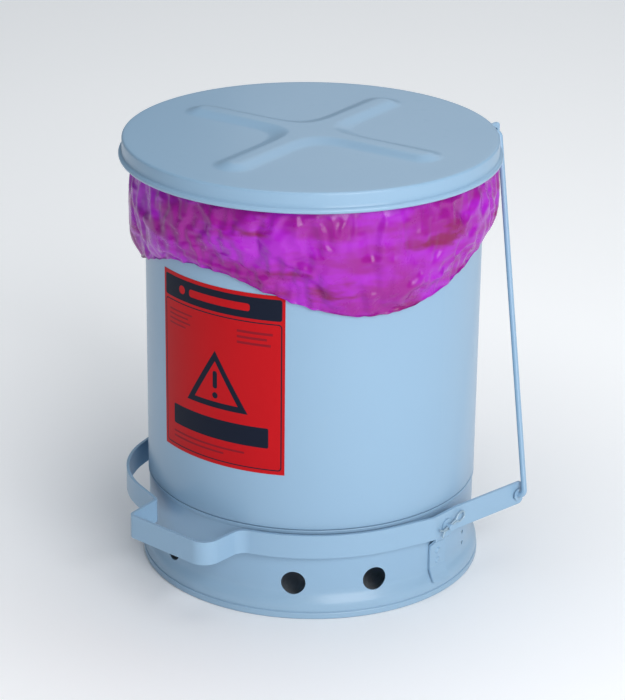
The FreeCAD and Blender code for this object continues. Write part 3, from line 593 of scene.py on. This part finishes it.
def crumple(piece):
    wall = standIn("wall_stand_in", *bag["wallStandIn"])
    wall.modifiers.new("Hit", "COLLISION")
    wall.collision.thickness_outer = 0.0006
    wall.collision.cloth_friction = 8
    cloth = piece.modifiers.new("Cloth", "CLOTH")
    how = cloth.settings
    how.vertex_group_mass = "hold"
    how.quality = 5
    how.mass = 0.03
    how.tension_stiffness = how.compression_stiffness = 12
    how.shear_stiffness = 4
    how.bending_stiffness = 0.02
    how.shrink_min = -bag["spare"]
    how.use_pressure = True
    how.uniform_pressure_force = 0.30
    how.air_damping = 1.5
    cloth.collision_settings.distance_min = 0.0006
    cloth.collision_settings.use_self_collision = False
    cloth.point_cache.frame_start, cloth.point_cache.frame_end = 1, bag["frames"]
    scene = bpy.context.scene
    for number in range(1, bag["frames"] + 1):
        scene.frame_set(number)
    ready = piece.evaluated_get(bpy.context.evaluated_depsgraph_get())
    mesh = bpy.data.meshes.new_from_object(ready)
    piece.modifiers.remove(cloth)
    piece.data = mesh
    scene.frame_set(1)
    bpy.data.objects.remove(wall)


bagFolds = [  # from and to as angle and height, how far it stands out, its width
    ((104, 0.438), (64, 0.343), 0.0046, 0.0075), ((112, 0.430), (76, 0.350), 0.0036, 0.0050),
    ((18, 0.428), (50, 0.352), 0.0034, 0.0065), ((-34, 0.405), (4, 0.384), 0.0036, 0.0060),
    ((34, 0.398), (70, 0.386), 0.0030, 0.0045), ((-62, 0.436), (-38, 0.372), 0.0034, 0.0060),
    ((4, 0.436), (24, 0.392), 0.0030, 0.0045), ((56, 0.352), (92, 0.366), 0.0034, 0.0045),
    ((150, 0.432), (126, 0.372), 0.0034, 0.0060), ((-150, 0.430), (-120, 0.366), 0.0034, 0.0060),
    ((-110, 0.432), (-84, 0.380), 0.0030, 0.0055), ((-8, 0.380), (30, 0.366), 0.0030, 0.0040),
]


def pinch(piece):  # the larger folds, each steep on one side
    for vert in list(piece.data.vertices)[bag["around"]:(bag["cuffRows"] - 3) * bag["around"]]:
        angle, reach = degrees(atan2(vert.co.x, -vert.co.y)), hypot(vert.co.x, vert.co.y)
        out = 0.0
        for (startAngle, startZ), (endAngle, endZ), rise, width in bagFolds:
            run = Vector((radians(endAngle - startAngle) * bag["foldRadius"], endZ - startZ))
            at = Vector((radians(angle - startAngle) * bag["foldRadius"], vert.co.z - startZ))
            share = at.dot(run) / run.length_squared
            if 0 < share < 1:
                off = (run.x * at.y - run.y * at.x) / run.length
                spread = width if off > 0 else width * bag["steepSide"]
                out += rise * sin(pi * share) ** 0.6 * exp(-(off / spread) ** 2)
        vert.co.x *= (reach + out) / reach
        vert.co.y *= (reach + out) / reach


def keepInside(piece):  # the film stays outside the wall and within its allowance
    for vert in piece.data.vertices:
        reach = hypot(vert.co.x, vert.co.y)
        if vert.index < bag["cuffRows"] * bag["around"]:
            limit = bag["bellyLimit"] if vert.co.z < bag["limitHeight"] else bag["rimLimit"]
            wanted = min(max(reach, bag["wallLimit"]), limit)
            vert.co.x *= wanted / reach
            vert.co.y *= wanted / reach
            if abs(vert.co.x) < bag["backHalf"]:
                vert.co.y = min(vert.co.y, bag["backLimit"])


def makeLiner():
    piece, rowCount = makeBag()
    holdGroup(piece, rowCount)
    wear(piece, finishes["liner_film"])
    crumple(piece)
    pinch(piece)
    keepInside(piece)
    piece.vertex_groups.clear()
    finer = piece.modifiers.new("Finer", "SUBSURF")
    finer.levels = finer.render_levels = 1
    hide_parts("liner_bag")
    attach(piece, "can")


makeLiner()
print("liner done")


view = {
    "azimuth": 41.0, "elevation": 21.857, "distance": 2.6378, "aimHeight": 0.232,
    "pan": 0.001, "tilt": -0.121, "roll": 0.663, "lens": 127.66,
}


def makeCamera():
    turn = Matrix.Rotation(radians(view["azimuth"]), 3, "Z")
    rise = radians(view["elevation"])
    at = turn @ Vector((0, -view["distance"] * cos(rise), 0)) + Vector((0, 0, view["aimHeight"]
                                                                        + view["distance"] * sin(rise)))
    ahead = turn @ Vector((0, cos(rise), -sin(rise)))
    right = turn @ Vector((1, 0, 0))
    up = right.cross(ahead)
    pan, tilt, roll = radians(view["pan"]), radians(view["tilt"]), radians(view["roll"])
    look = (ahead * cos(pan) * cos(tilt) + right * sin(pan) * cos(tilt) + up * sin(tilt)).normalized()
    side = look.cross(up).normalized()
    top = side.cross(look)
    sideways = side * cos(roll) + top * sin(roll)
    upwards = top * cos(roll) - side * sin(roll)
    camera = bpy.data.objects.new("camera", bpy.data.cameras.new("camera"))
    camera.data.lens = view["lens"]
    camera.data.sensor_width = 36.0
    camera.data.clip_end = 50
    camera.matrix_world = Matrix.Translation(at) @ Matrix((sideways, upwards, -look)).transposed().to_4x4()
    bpy.context.scene.collection.objects.link(camera)
    bpy.context.scene.camera = camera


lights = {  # name: place, size, power
    "key": ((2.9, -1.2, 1.7), 2.2, 92.0),
    "above": ((0.2, 0.1, 3.2), 2.4, 36.0),
    "behind": ((-1.6, 3.4, 2.8), 3.0, 18.0),
}


stage = {
    "half": 9, "pale": ((0.93, 0.935, 0.94, 1), (0.95, 0.95, 0.955, 1)), "roughness": 0.7,
    "glow": 0.22, "glowFrom": 0.17, "glowTo": 0.8, "sky": (0.78, 0.89, 1.0, 1), "skyPower": 0.24,
}


def makeStage():  # the floor glows, but not close to the can
    half = stage["half"]
    corners = [(-half, -half, 0), (half, -half, 0), (half, half, 0), (-half, half, 0)]
    floor = newPiece("floor", corners, (), [(0, 1, 2, 3)])
    finish, tree, shader = newMaterial("paleFloor")
    at, axes = tree.place()
    tree.feed(shader.inputs["Base Color"], tree.mix(tree.noise(at, 3.0), *stage["pale"]))
    shader.inputs["Roughness"].default_value = stage["roughness"]
    away = (axes[0] * axes[0] + axes[1] * axes[1]) ** 0.5
    glow = tree.mix(away.step(stage["glowFrom"], stage["glowTo"]), (0, 0, 0, 1), (1, 1, 1, 1))
    tree.feed(shader.inputs["Emission Color"], glow)
    shader.inputs["Emission Strength"].default_value = stage["glow"]
    floor.data.materials.append(finish)
    for name, (place, size, power) in lights.items():
        lamp = bpy.data.lights.new(name, "AREA")
        lamp.size, lamp.energy = size, power
        holder = bpy.data.objects.new(name, lamp)
        holder.location = place
        holder.rotation_euler = (Vector((0, 0, 0.25)) - Vector(place)).to_track_quat("-Z", "Y").to_euler()
        bpy.context.scene.collection.objects.link(holder)
    world = bpy.context.scene.world or bpy.data.worlds.new("world")
    bpy.context.scene.world = world
    world.use_nodes = True
    ground = world.node_tree.nodes["Background"]
    ground.inputs[0].default_value = stage["sky"]
    ground.inputs[1].default_value = stage["skyPower"]
    bpy.context.scene.view_settings.view_transform = "Standard"


makeCamera()
makeStage()
print("camera and light done")
